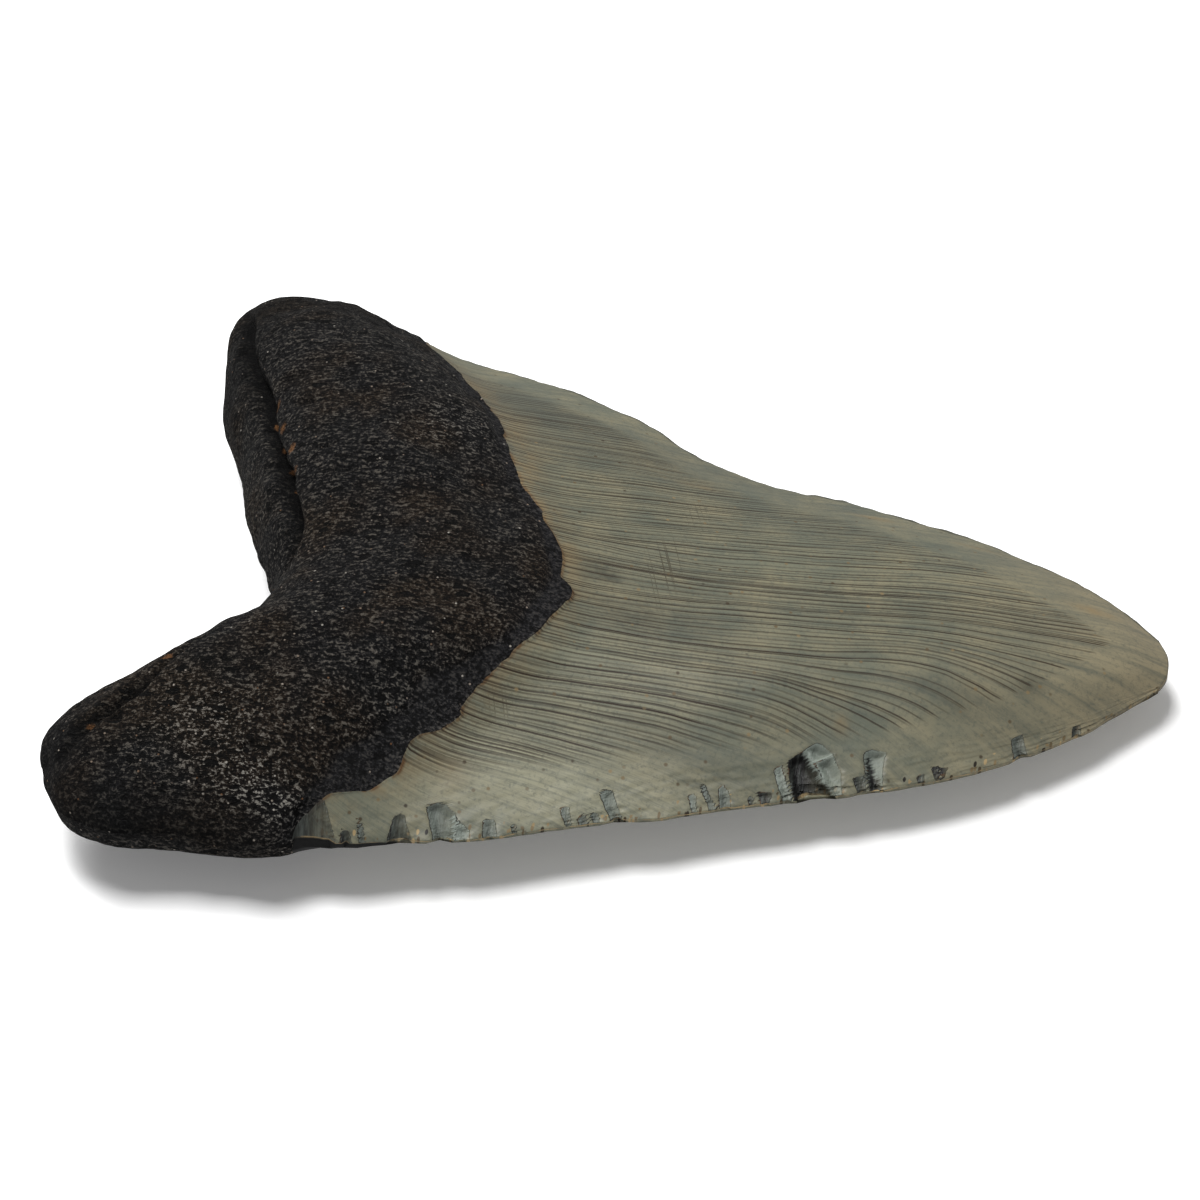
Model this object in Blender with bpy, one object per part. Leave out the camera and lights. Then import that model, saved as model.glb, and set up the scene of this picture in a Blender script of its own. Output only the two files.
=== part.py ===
# Megalodon tooth, lying on its outer (labial) face with the inner (lingual) face up.
# +X runs along the crown to its point, +Y goes from the near root lobe to the far one, +Z is up.
# The origin is on the surface it rests on, under the middle of its outline.
#
# The tooth grew as one piece, so it is one solid. It starts as a cube cut into a fine block.
# Each point of the block has a place across (-1 near edge, 1 far edge), along (0 root, 1 tip)
# and up (-1 outer face, 1 inner face). From these a smooth tooth is shaped, and then its surface
# is raised and sunk for the root's lumps and grooves and the ledge where the enamel starts.
# Lengths are in millimetres and are turned to metres at the end.

import bpy
import bmesh
import numpy as np
from mathutils import Vector, noise

MM = 0.001

# How finely the block is cut, and the row of cuts that follows the edge of the enamel
ROWS_ALONG = 62
ENAMEL_ROW = 26
ROW_CROWDING = 1.25
COLUMNS_ACROSS = 36
COLUMN_CROWDING = 0.45

# The outline seen from above, as points that a smooth curve passes through
NEAR_SIDE = [(-67.5, -44.5), (-62, -50), (-50, -52), (-38, -51.7), (-28, -50), (-10, -45.4),
             (10, -38.6), (28, -32.2), (44, -26.6), (59, -18.1), (70, -8.7), (77, -1)]
FAR_SIDE = [(-60.8, 60.7), (-53, 61.2), (-43, 60), (-34, 57.4), (-26, 54.8), (-11, 51),
            (-1, 46.5), (9, 39.3), (18, 35), (36, 30.8), (53, 25.3), (69, 17), (77, 9)]
ROOT_SIDE = [(-67.5, -44.5), (-67.5, -38.3), (-62.3, -30), (-53.2, -22.8), (-45.5, -16.5), (-43.7, -8.5),
             (-47, 4), (-52.5, 17), (-57, 29.5), (-60, 38), (-61.6, 48), (-62.2, 56), (-60.8, 60.7)]
TIP_SIDE = [(77, -1), (78.2, 2), (78.3, 5.5), (77, 9.5)]

# Heights at places along the tooth: (place along, height)
RIM_HEIGHT = [(0, 9.5), (0.2, 9), (0.35, 8), (0.7, 6.5), (1, 5)]
INNER_SWELL = [(0, 12.5), (0.1, 15), (0.22, 15.8), (0.35, 12.6),
               (0.6, 9.5), (0.8, 6), (0.93, 3.2), (1, 0.4)]
OUTER_SWELL = [(0, 9.5), (0.2, 9), (0.35, 8), (0.7, 6.9), (0.85, 3.8), (0.95, 1.5), (1, 0.4)]
ROOT_RIM_GAP = 1.0
CUTTING_EDGE_GAP = 0.25
ROOT_ROUNDING = 0.1
FAR_LOBE_ROUNDING = 0.06

# How full a section across the tooth is: a power of a half makes it round, and 1 a lens
INNER_CROWN_POWER = 0.95
INNER_ROOT_POWER = 0.5
OUTER_CROWN_POWER = 1.0
OUTER_ROOT_POWER = 0.45
CROWN_FLATNESS = 2
ROOT_FLATNESS = 3

# The shoulders, where the root's section turns into the crown's
SHOULDER_ALONG = 0.27
SHOULDER_SLANT = 0.04
SHOULDER_DROOP = 0.05
SHOULDER_BLEND = 0.08

# Where the enamel starts on each face: (place across, place along)
INNER_ENAMEL = [(-1, 0.243), (-0.93, 0.266), (-0.82, 0.312), (-0.66, 0.323), (-0.42, 0.31),
                (-0.2, 0.322), (0.07, 0.3), (0.43, 0.288), (0.75, 0.271), (0.9, 0.235), (1, 0.19)]
OUTER_ENAMEL = [(-1, 0.243), (-0.7, 0.245), (-0.35, 0.2), (0, 0.18), (0.4, 0.195), (0.75, 0.22), (1, 0.19)]
ROOT_STANDS_PROUD = 0.5
LEDGE_WIDTH = 0.008

# Grooves that run along the root's end on the inner face: (place across, place along, depth)
FAR_GROOVE = [(-0.2, 0.017, 0), (-0.12, 0.034, 2.6), (-0.03, 0.04, 3.9), (0.08, 0.042, 4.2),
              (0.26, 0.039, 3.2), (0.5, 0.033, 2.4), (0.79, 0.023, 1.4), (0.92, 0.018, 0)]
NEAR_GROOVE = [(-0.97, 0.035, 0), (-0.9, 0.044, 1), (-0.8, 0.064, 1.8), (-0.68, 0.065, 1.8),
               (-0.58, 0.057, 0.9), (-0.48, 0.05, 0)]
GROOVE_HALF_WIDTH = 0.011

# Chips out of the near cutting edge: (place along, half its length, reach across)
CHIPS = [(0.36, 0.025, 0.12), (0.665, 0.034, 0.3), (0.857, 0.024, 0.22)]
CHIP_BITE = 1.0
CHIP_SCOOP = 0.4

# Lumps over the surface: (how wide, how high)
ROOT_LUMPS = [(16, 1.1), (7, 0.5)]
CROWN_LUMPS = [(24, 0.3)]
LOBE_END_POWER = 8
LOBE_END_LENGTH = 0.06
SMOOTH_TIP_FROM = 0.9
EDGE_WAVE_LENGTH = 8
EDGE_WAVE = 0.5
SIDES_APART = 100

# The outer face touches the ground under each lobe and under the middle of the crown
LOBE_PAD_ACROSS = 0.58
LOBE_PAD_WIDTH = 0.22
LOBE_PAD_DROP = 0.9
HOLLOW_WIDTH = 0.28
HOLLOW_ALONG = 0.1
HOLLOW_LENGTH = 0.13
HOLLOW_RISE = 1.2
REST_FLAT = 0.5

# Colours in linear light
ROOT_COLOUR = (0.019, 0.018, 0.014)
ROOT_ROUGHNESS = 0.55
ENAMEL_COLOUR = (0.25, 0.255, 0.195)
ENAMEL_ROUGHNESS = 0.4


def smooth_curve(places, values):
    """A smooth curve through the values, each at its place, as a function of place."""
    places, values = np.array(places, float), np.array(values, float)
    slopes = np.gradient(values, places, axis=0)

    def at(place):
        place = np.clip(place, places[0], places[-1])
        i = np.clip(np.searchsorted(places, place, side="right") - 1, 0, len(places) - 2)
        width = places[i + 1] - places[i]
        f = (place - places[i]) / width
        if values.ndim > 1:
            width, f = width[:, None], f[:, None]
        return (
            values[i] * (1 + 2 * f) * (1 - f) ** 2
            + slopes[i] * width * f * (1 - f) ** 2
            + values[i + 1] * f**2 * (3 - 2 * f)
            + slopes[i + 1] * width * f**2 * (f - 1)
        )

    return at


def curve_through(points):
    """A smooth curve through the points, as a function of the share of its length."""
    steps = np.linalg.norm(np.diff(points, axis=0), axis=1)
    share = np.concatenate([[0], np.cumsum(steps)]) / steps.sum()
    return smooth_curve(share, points)


def profile(stations):
    """A smooth curve through (place, value) stations."""
    places, values = zip(*stations)
    return smooth_curve(places, values)


def ease(value, low, high):
    """0 below low, 1 above high, and smooth in between."""
    f = np.clip((value - low) / (high - low), 0, 1)
    return f * f * (3 - 2 * f)


def bump(value, middle, width):
    """1 at the middle, falling away smoothly over about its width."""
    return np.exp(-(((value - middle) / width) ** 2))


def lumps(points, width):
    """Smooth lumps about as wide as given, from about -1 to 1."""
    return np.array([noise.noise(Vector(point) / width) for point in points])


def crownness(across, along):
    """0 on the root and 1 on the crown. The far shoulder is nearer to the root's end than the near one."""
    shoulder = SHOULDER_ALONG - SHOULDER_SLANT * across - SHOULDER_DROOP * across**2
    return ease(along, shoulder - SHOULDER_BLEND, shoulder + SHOULDER_BLEND)


def chipped(across, along):
    """1 in the chips at the near cutting edge, and 0 away from them."""
    depth = np.zeros_like(along)
    for place, half_length, reach in CHIPS:
        lengthways = np.clip(1 - ((along - place) / half_length) ** 2, 0, 1)
        depth += lengthways * (1 - ease(across + 1, 0, reach))
    return depth


def outline_plan(across, along):
    """Where a place on the block lies seen from above, filled in smoothly between the four sides."""
    a = ((across + 1) / 2)[:, None]
    t = along[:, None]
    near, far = curve_through(NEAR_SIDE)(along), curve_through(FAR_SIDE)(along)
    root, tip = curve_through(ROOT_SIDE)(a[:, 0]), curve_through(TIP_SIDE)(a[:, 0])
    corners = (
        (1 - a) * (1 - t) * NEAR_SIDE[0]
        + a * (1 - t) * FAR_SIDE[0]
        + (1 - a) * t * np.array(NEAR_SIDE[-1])
        + a * t * np.array(FAR_SIDE[-1])
    )
    plan = (1 - a) * near + a * far + (1 - t) * root + t * tip - corners
    side = np.column_stack([plan[:, 0], SIDES_APART * across, np.zeros_like(along)])
    wave = EDGE_WAVE * lumps(side, EDGE_WAVE_LENGTH) * across**4
    plan[:, 1] += wave + CHIP_BITE * chipped(across, along)
    return plan


def swell(across, along, stations, crown_power, root_power):
    """How far a face stands off the rim: round at the root's rim, and like a lens at the crown's edges."""
    crown = crownness(across, along)
    flatness = ROOT_FLATNESS + (CROWN_FLATNESS - ROOT_FLATNESS) * crown
    inside = np.clip(1 - np.abs(across) ** flatness, 0, 1)
    sides = inside ** (root_power + (crown_power - root_power) * crown)
    rounding = ROOT_ROUNDING + (FAR_LOBE_ROUNDING - ROOT_ROUNDING) * np.clip(across, 0, 1) ** 4
    from_root = 1 - np.clip(along / rounding, 0, 1)
    return profile(stations)(along) * sides * np.sqrt(1 - from_root**2)


def smooth_form(across, along, up):
    """The surface point of the smooth tooth for each place on the block."""
    gap = ROOT_RIM_GAP + (CUTTING_EDGE_GAP - ROOT_RIM_GAP) * crownness(across, along)
    inner = swell(across, along, INNER_SWELL, INNER_CROWN_POWER, INNER_ROOT_POWER)
    inner *= 1 - CHIP_SCOOP * chipped(across, along)
    outer = swell(across, along, OUTER_SWELL, OUTER_CROWN_POWER, OUTER_ROOT_POWER)
    height = profile(RIM_HEIGHT)(along) + up * gap + np.where(up > 0, inner, -outer)
    return np.column_stack([outline_plan(across, along), height])


def enamel_start(across, up):
    """How far along the enamel starts, on the inner or the outer face."""
    return np.where(up > 0, profile(INNER_ENAMEL)(across), profile(OUTER_ENAMEL)(across))


def groove(across, along, stations):
    """Depth of a groove that follows its stations."""
    acrosses, alongs, depths = zip(*stations)
    middle = np.interp(across, acrosses, alongs)
    return np.interp(across, acrosses, depths) * bump(along, middle, GROOVE_HALF_WIDTH)


def relief(across, along, up, points):
    """How far the real surface stands out from the smooth form."""
    enamel = enamel_start(across, up)
    root = 1 - ease(along, enamel - LEDGE_WIDTH, enamel + LEDGE_WIDTH)
    on_root = sum(height * lumps(points, width) for width, height in ROOT_LUMPS)
    on_root *= 1 - across**LOBE_END_POWER * bump(along, 0, LOBE_END_LENGTH)
    on_crown = sum(height * lumps(points, width) for width, height in CROWN_LUMPS)
    grooves = groove(across, along, FAR_GROOVE) + groove(across, along, NEAR_GROOVE)
    off_the_edges = (1 - across**4) * (1 - ease(along, SMOOTH_TIP_FROM, 1))
    inner = root * (ROOT_STANDS_PROUD + on_root) - grooves
    inner += (1 - root) * on_crown * off_the_edges
    pads = LOBE_PAD_DROP * bump(np.abs(across), LOBE_PAD_ACROSS, LOBE_PAD_WIDTH) * root
    hollow = HOLLOW_RISE * bump(across, 0, HOLLOW_WIDTH) * bump(along, HOLLOW_ALONG, HOLLOW_LENGTH)
    outer = root * on_root / 2 + pads - hollow
    return np.where(up > 0, inner, outer)


def block():
    """A cube cut into rows and columns, with its corners at -1 and 1."""
    bm = bmesh.new()
    bmesh.ops.create_cube(bm, size=2)
    for axis, pieces in ((0, ROWS_ALONG), (1, COLUMNS_ACROSS)):
        lengthways = [e for e in bm.edges if abs((e.verts[0].co - e.verts[1].co)[axis]) > 1]
        bmesh.ops.subdivide_edges(bm, edges=lengthways, cuts=pieces - 1, use_grid_fill=True)
    return bm


def spread(places):
    """Places across and along for the block's points, with the rows closer near the root's end."""
    across = COLUMN_CROWDING * np.sin(places[:, 1] * np.pi / 2) + (1 - COLUMN_CROWDING) * places[:, 1]
    enamel = enamel_start(across, places[:, 2])
    row = (places[:, 0] + 1) / 2 * ROWS_ALONG
    on_root = enamel * np.clip(row / ENAMEL_ROW, 0, 1) ** ROW_CROWDING
    on_crown = (1 - enamel) * np.clip((row - ENAMEL_ROW) / (ROWS_ALONG - ENAMEL_ROW), 0, 1)
    return across, on_root + on_crown


def finish_material(name, colour, roughness):
    material = bpy.data.materials.new(name)
    material.use_nodes = True
    shader = material.node_tree.nodes["Principled BSDF"]
    shader.inputs["Base Color"].default_value = (*colour, 1)
    shader.inputs["Roughness"].default_value = roughness
    shader.inputs["Metallic"].default_value = 0
    return material


def make_tooth():
    bm = block()
    last_root_place = 2 * ENAMEL_ROW / ROWS_ALONG - 1
    for face in bm.faces:
        face.material_index = int(face.calc_center_median().x > last_root_place)

    places = np.array([v.co[:] for v in bm.verts])
    across, along = spread(places)
    up = places[:, 2]
    points = smooth_form(across, along, up)
    for vertex, point in zip(bm.verts, points):
        vertex.co = Vector(point)
    bmesh.ops.recalc_face_normals(bm, faces=bm.faces)
    bm.normal_update()
    for vertex, amount in zip(bm.verts, relief(across, along, up, points)):
        vertex.co += vertex.normal * amount

    spots = np.array([v.co[:] for v in bm.verts])
    low, high = spots.min(axis=0), spots.max(axis=0)
    ground = low[2] + REST_FLAT
    middle = Vector(((low[0] + high[0]) / 2, (low[1] + high[1]) / 2, ground))
    for vertex in bm.verts:
        vertex.co.z = max(vertex.co.z, ground)
        vertex.co = (vertex.co - middle) * MM

    mesh = bpy.data.meshes.new("tooth")
    bm.to_mesh(mesh)
    bm.free()
    mesh.shade_smooth()
    mesh.materials.append(finish_material("black_fossil_root", ROOT_COLOUR, ROOT_ROUGHNESS))
    mesh.materials.append(finish_material("grey_green_enamel", ENAMEL_COLOUR, ENAMEL_ROUGHNESS))
    return bpy.data.objects.new("tooth", mesh)


for leftover in list(bpy.data.objects):
    bpy.data.objects.remove(leftover)
collection = bpy.data.collections.new("megalodon_tooth")
bpy.context.scene.collection.children.link(collection)
collection.objects.link(make_tooth())
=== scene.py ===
import math

import bmesh
import bpy
import numpy as np
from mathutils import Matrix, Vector, noise


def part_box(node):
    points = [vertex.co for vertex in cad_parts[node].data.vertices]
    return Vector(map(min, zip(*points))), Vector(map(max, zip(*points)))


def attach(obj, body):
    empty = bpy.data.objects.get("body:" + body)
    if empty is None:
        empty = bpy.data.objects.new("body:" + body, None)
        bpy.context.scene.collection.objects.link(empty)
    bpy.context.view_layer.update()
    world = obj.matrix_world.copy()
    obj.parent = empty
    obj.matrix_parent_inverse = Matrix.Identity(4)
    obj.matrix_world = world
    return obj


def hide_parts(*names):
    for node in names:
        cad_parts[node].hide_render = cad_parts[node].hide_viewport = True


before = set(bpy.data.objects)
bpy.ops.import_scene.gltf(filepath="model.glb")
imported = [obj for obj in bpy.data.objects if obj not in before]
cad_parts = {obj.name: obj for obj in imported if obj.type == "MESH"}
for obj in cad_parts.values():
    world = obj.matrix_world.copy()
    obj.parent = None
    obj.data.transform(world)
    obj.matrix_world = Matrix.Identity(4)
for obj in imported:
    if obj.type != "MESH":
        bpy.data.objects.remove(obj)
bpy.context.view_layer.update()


# The studio: a white sheet that runs on past the picture, a soft light overhead, a wide one
# behind and to the left, and even white light from all round. The camera looks down on the
# inner face from the near side, as a collector's photograph of a tooth on a table does.

CAMERA_AZIMUTH = math.radians(8)
CAMERA_ELEVATION = math.radians(40)
CAMERA_DISTANCE = 0.5
CAMERA_LENS = 109.5
LOOKED_AT = Vector((-0.00463, -0.00457, 0.01277))
FLOOR_HALF_SIZE = 3
FLOOR_DROP = 0.0002
PAPER_GRAIN_MM = 2.5
PAPER_GLOW = 0.14
ROOM_STRENGTH = 0.25

# Each light: its place, width, watts, and whether its reflection shows
LIGHTS = {
    "overhead_light": ((-0.2, 0, 1), 0.35, 9, True),
    "back_light": ((-0.45, 0.5, 0.75), 0.5, 7, False),
}


def linear(hex_colour):
    """An sRGB hex colour as linear red, green, blue and alpha."""
    shares = [int(hex_colour[i : i + 2], 16) / 255 for i in (1, 3, 5)]
    return [c / 12.92 if c <= 0.04045 else ((c + 0.055) / 1.055) ** 2.4 for c in shares] + [1]


def add(tree, kind, inputs, **settings):
    """Adds a node. An input is a value, or the node or socket that it is linked to."""
    made = tree.nodes.new("ShaderNode" + kind)
    for name, value in settings.items():
        setattr(made, name, value)
    for name, value in inputs.items():
        named = (s for s in made.inputs if s.enabled and s.name == name)
        socket = made.inputs[name] if isinstance(name, int) else next(named)
        if isinstance(value, bpy.types.Node):
            value = next(s for s in value.outputs if s.enabled)
        if isinstance(value, bpy.types.NodeSocket):
            tree.links.new(value, socket)
        else:
            socket.default_value = value
    return made


def per_metre(size_mm):
    """The scale that makes a pattern's features about that many millimetres wide."""
    return 1000 / size_mm


def new_material(name):
    """A new material, its node tree and its shader."""
    material = bpy.data.materials.new(name)
    material.use_nodes = True
    return material, material.node_tree, material.node_tree.nodes["Principled BSDF"]


def aim(thing, place, target):
    """Puts a light or the camera at a place, looking at the target."""
    thing.location = place
    thing.rotation_euler = (target - place).to_track_quat("-Z", "Y").to_euler()
    bpy.context.scene.collection.objects.link(thing)


# Matt white paper, lit a little from below as on a light table: a clean ground with a soft shadow
paper, tree, shader = new_material("white_paper")
grain = add(tree, "TexNoise", {"Scale": per_metre(PAPER_GRAIN_MM), "Detail": 2.0})
tone = add(tree, "MixRGB", {"Fac": grain, "Color1": linear("#f4f4f4"), "Color2": linear("#f7f7f7")})
tree.links.new(tone.outputs[0], shader.inputs["Base Color"])
shader.inputs["Roughness"].default_value = 0.95
shader.inputs["Specular IOR Level"].default_value = 0.1
shader.inputs["Emission Color"].default_value = linear("#ffffff")
shader.inputs["Emission Strength"].default_value = PAPER_GLOW

bm = bmesh.new()
bmesh.ops.create_grid(bm, x_segments=2, y_segments=2, size=FLOOR_HALF_SIZE)
mesh = bpy.data.meshes.new("floor")
bm.to_mesh(mesh)
bm.free()
mesh.materials.append(paper)
floor = bpy.data.objects.new("floor", mesh)
floor.location.z = -FLOOR_DROP
floor.visible_glossy = False
bpy.context.scene.collection.objects.link(floor)

for name, (place, width, watts, reflected) in LIGHTS.items():
    light = bpy.data.lights.new(name, "AREA")
    light.size = width
    light.energy = watts
    lamp = bpy.data.objects.new(name, light)
    lamp.visible_glossy = reflected
    aim(lamp, Vector(place), LOOKED_AT)

room = bpy.data.worlds.new("white_room")
room.use_nodes = True
room.node_tree.nodes["Background"].inputs["Color"].default_value = linear("#ffffff")
room.node_tree.nodes["Background"].inputs["Strength"].default_value = ROOM_STRENGTH
bpy.context.scene.world = room
bpy.context.scene.view_settings.view_transform = "Standard"

toward_camera = Vector((
    math.sin(CAMERA_AZIMUTH) * math.cos(CAMERA_ELEVATION),
    -math.cos(CAMERA_AZIMUTH) * math.cos(CAMERA_ELEVATION),
    math.sin(CAMERA_ELEVATION),
))
lens = bpy.data.cameras.new("camera")
lens.sensor_width = 36
lens.lens = CAMERA_LENS
camera = bpy.data.objects.new("camera", lens)
aim(camera, LOOKED_AT + toward_camera * CAMERA_DISTANCE, LOOKED_AT)
bpy.context.scene.camera = camera


# The tooth, one piece of fossil bone and enamel as it grew. Its form is that of the solid, cut
# finer: a place across (-1 near edge, 1 far edge), along (0 root, 1 tip) and up (-1 outer face,
# 1 inner face) gives each point. Lengths are in millimetres until the mesh is finished.

INNER_CUTS = (360, 240)
OUTER_CUTS = (120, 84)
ENAMEL_SHARE = 0.42
ROW_CROWDING = 1.25
EDGE_CROWDING = 0.7

NEAR_SIDE = [(-67.5, -44.5), (-62, -50), (-50, -52), (-38, -51.7), (-28, -50), (-10, -45.4),
             (10, -38.6), (28, -32.2), (44, -26.6), (59, -18.1), (70, -8.7), (77, -1)]
FAR_SIDE = [(-60.8, 60.7), (-53, 61.2), (-43, 60), (-34, 57.4), (-26, 54.8), (-11, 51),
            (-1, 46.5), (9, 39.3), (18, 35), (36, 30.8), (53, 25.3), (69, 17), (77, 9)]
ROOT_SIDE = [(-67.5, -44.5), (-67.5, -38.3), (-62.3, -30), (-53.2, -22.8), (-45.5, -16.5), (-43.7, -8.5),
             (-47, 4), (-52.5, 17), (-57, 29.5), (-60, 38), (-61.6, 48), (-62.2, 56), (-60.8, 60.7)]
TIP_SIDE = [(77, -1), (78.2, 2), (78.3, 5.5), (77, 9.5)]

RIM_HEIGHT = [(0, 9.5), (0.2, 9), (0.35, 8), (0.7, 6.5), (1, 5)]
INNER_SWELL = [(0, 12.5), (0.1, 15), (0.22, 15.8), (0.35, 12.6),
               (0.6, 9.5), (0.8, 6), (0.93, 3.2), (1, 0.4)]
OUTER_SWELL = [(0, 9.5), (0.2, 9), (0.35, 8), (0.7, 6.9), (0.85, 3.8), (0.95, 1.5), (1, 0.4)]
ROOT_RIM_GAP = 1.0
CUTTING_EDGE_GAP = 0.25
ROOT_ROUNDING = 0.1
FAR_LOBE_ROUNDING = 0.06

INNER_CROWN_POWER = 0.95
INNER_ROOT_POWER = 0.5
OUTER_CROWN_POWER = 1.0
OUTER_ROOT_POWER = 0.45
CROWN_FLATNESS = 2
ROOT_FLATNESS = 3
SHOULDER_ALONG = 0.27
SHOULDER_SLANT = 0.04
SHOULDER_DROOP = 0.05
SHOULDER_BLEND = 0.08

# Where the enamel starts on each face, broken and stepped along the inner one: (across, along)
INNER_ENAMEL = [(-1, 0.238), (-0.97, 0.246), (-0.922, 0.263), (-0.9, 0.29), (-0.864, 0.303),
                (-0.838, 0.308), (-0.8, 0.303), (-0.744, 0.304), (-0.72, 0.316), (-0.664, 0.322),
                (-0.638, 0.316), (-0.584, 0.309), (-0.511, 0.306), (-0.424, 0.301), (-0.347, 0.306),
                (-0.276, 0.312), (-0.216, 0.323), (-0.18, 0.323), (-0.149, 0.312), (-0.042, 0.317),
                (0.033, 0.309), (0.124, 0.303), (0.182, 0.295), (0.278, 0.289), (0.369, 0.287),
                (0.549, 0.278), (0.656, 0.264), (0.758, 0.241), (0.844, 0.221), (0.933, 0.198),
                (1, 0.185)]
OUTER_ENAMEL = [(-1, 0.238), (-0.7, 0.245), (-0.35, 0.2), (0, 0.18), (0.4, 0.195), (0.75, 0.22),
                (1, 0.185)]
JAGS = [(2.6, 0.0035), (1, 0.0018)]
ROOT_STANDS_PROUD = 0.5
LEDGE_WIDTH = 0.003
LENGTH_MM = 140

# The smooth dark band between root and enamel starts here on the inner face, and is a little sunk
BAND_START = [(-1, 0.225), (-0.947, 0.238), (-0.889, 0.256), (-0.836, 0.258), (-0.78, 0.273),
              (-0.691, 0.279), (-0.591, 0.267), (-0.524, 0.278), (-0.409, 0.281), (-0.293, 0.285),
              (-0.149, 0.3), (0.03, 0.296), (0.28, 0.276), (0.55, 0.264), (0.84, 0.21), (1, 0.178)]
BAND_BLEND = 0.006
BAND_SUNK = 0.45
BAND_SUNK_SPREAD = 2

# Grooves that run along the root's end on the inner face: (place across, place along, depth)
FAR_GROOVE = [(-0.2, 0.02, 0), (-0.12, 0.036, 2.8), (-0.03, 0.041, 4.2), (0.08, 0.042, 4.5),
              (0.26, 0.038, 3.6), (0.5, 0.031, 3), (0.79, 0.021, 2.2), (0.93, 0.016, 0)]
NEAR_GROOVE = [(-0.97, 0.035, 0), (-0.9, 0.044, 1.4), (-0.8, 0.06, 2.4), (-0.68, 0.06, 2.2),
               (-0.58, 0.05, 1.6), (-0.48, 0.038, 0)]
GROOVE_HALF_WIDTH = 0.0075
GROOVE_WANDER = 0.005
GROOVE_WANDER_LENGTH = 4

# Pores in the root where vessels went in: (x, y, length, width, depth)
PORES = [(-47.4, 29, 2.2, 0.6, 0.9), (-44.1, 22.5, 1.6, 0.6, 0.8), (-39.4, 11.4, 1.5, 0.6, 0.8),
         (-39.8, 28.4, 1.3, 0.5, 0.6), (-29.9, 18.2, 1.7, 0.6, 0.8), (-50.9, 25, 1, 0.6, 0.8),
         (-46, 13, 1.2, 0.7, 0.9), (-44.2, 9.3, 0.8, 0.8, 0.8), (-56.9, -41, 1.1, 0.9, 0.9),
         (-44.1, -38.6, 0.9, 0.7, 0.7), (-38.4, -44.1, 0.8, 0.8, 0.8), (-35.1, 6.2, 1.3, 0.5, 0.6),
         (-30.9, -20.9, 1, 0.6, 0.5), (-52.8, -29.2, 1.2, 0.7, 0.6)]

# Chips out of the near cutting edge, a later one over an earlier one: its depth, how dark it is,
# and its corners (x, how far in) clockwise from the left foot. A foot at -1 is past the edge. The
# sides lean to the right as they run in, and a wall this wide slopes down to the chip's depth
CHIPS = [
    (0.7, 0.85, [(-32.6, -1), (-31.8, 2.4), (-29.8, 3.4), (-27.8, 3.3), (-26.4, -1)]),
    (0.3, 0.9, [(-26.3, -1), (-25.9, 1.1), (-24.9, 0.9), (-24.5, -1)]),
    (0.3, 0.6, [(-23.7, -1), (-24, 2.4), (-23.2, 1.7), (-22.8, -1)]),
    (0.5, 0.85, [(-20.7, -1), (-19.4, 2.6), (-18.1, 3.3), (-17, -1)]),
    (0.7, 0.55, [(-14.4, -1), (-15.3, 4.1), (-13.2, 4.4), (-11.6, 2.8), (-11.9, -1)]),
    (0.4, 0.15, [(-11.8, -1), (-11.6, 2.5), (-10, 0.9), (-10, -1)]),
    (0.4, 0.55, [(-8.5, -1), (-8.3, 2), (-6.8, 1.8), (-6.5, -1)]),
    (0.2, 0.6, [(-4.6, -1), (-4.9, 1.1), (-4.2, 1.1), (-4.1, -1)]),
    (0.3, 0.5, [(2.1, -1), (1.3, 2.4), (2.5, 2.6), (2.6, -1)]),
    (0.2, 0.6, [(3.6, -1), (3.4, 0.9), (4.3, 1.6), (4.7, -1)]),
    (0.2, 0.5, [(5.4, -1), (5, 1.4), (5.9, 1.3), (6.1, -1)]),
    (0.6, 0.45, [(7.7, -1), (6.2, 4.1), (8, 3.8), (9.1, -1)]),
    (0.2, 0.4, [(17.8, -1), (17.2, 1.9), (18.3, 2.1), (18.2, -1)]),
    (0.2, 0.6, [(20.1, -1), (18.7, 3.1), (19.5, 2.9), (21, -1)]),
    (0.3, 0.5, [(21, -1), (21.1, 2.1), (21.7, 3), (22.5, 1.5), (22.4, -1)]),
    (0.2, 0.7, [(24.8, -1), (24.7, 0.9), (25.4, 1.1), (25.4, -1)]),
    (0.3, 0.95, [(26.5, -1), (25.9, 1.4), (27.9, 1.3), (26.9, -1)]),
    (0.6, 0.3, [(29.3, -1), (28.1, 3.9), (29.1, 4.4), (30.4, -1)]),
    (1.3, 1, [(30.7, -1), (29.8, 4.9), (31.7, 6.4), (36.6, -1)]),
    (1, 0.05, [(33.2, 4.2), (31.6, 6.4), (32.7, 7.1), (33.6, 6.8), (35.5, 5.2)]),
    (1.1, 0.15, [(36.4, -1), (33.3, 4.3), (35.5, 5.2), (36.7, 2.8), (36.6, -1)]),
    (0.4, 0.9, [(38.8, -1), (38.1, 2), (39.7, 2.2), (39.6, -1)]),
    (0.8, 0.2, [(40.5, -1), (39.3, 5.1), (40.2, 5.5), (42.3, 4.8), (41.7, -1)]),
    (0.9, 1, [(40.6, -1), (40.2, 3.8), (42, -1)]),
    (0.3, 0.8, [(46.5, -1), (46.1, 1), (47.2, 1.2), (46.8, -1)]),
    (0.4, 1, [(48.8, -1), (48, 1.7), (49, 1.6), (49, -1)]),
    (0.4, 1, [(49.4, 0), (49.1, 1.4), (50.2, 1.3)]),
    (0.5, 0.6, [(58.6, -1), (58.2, 2.8), (59.6, 3.1), (60.4, -1)]),
    (0.4, 0.8, [(65.8, -1), (66, 1.4), (67, 1.2), (67.1, -1)]),
]
CHIP_LEAN = 0.2
CHIP_WALL = 0.9
CHIP_BITE = 0.45
CHIP_BITE_REACH = 2
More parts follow.
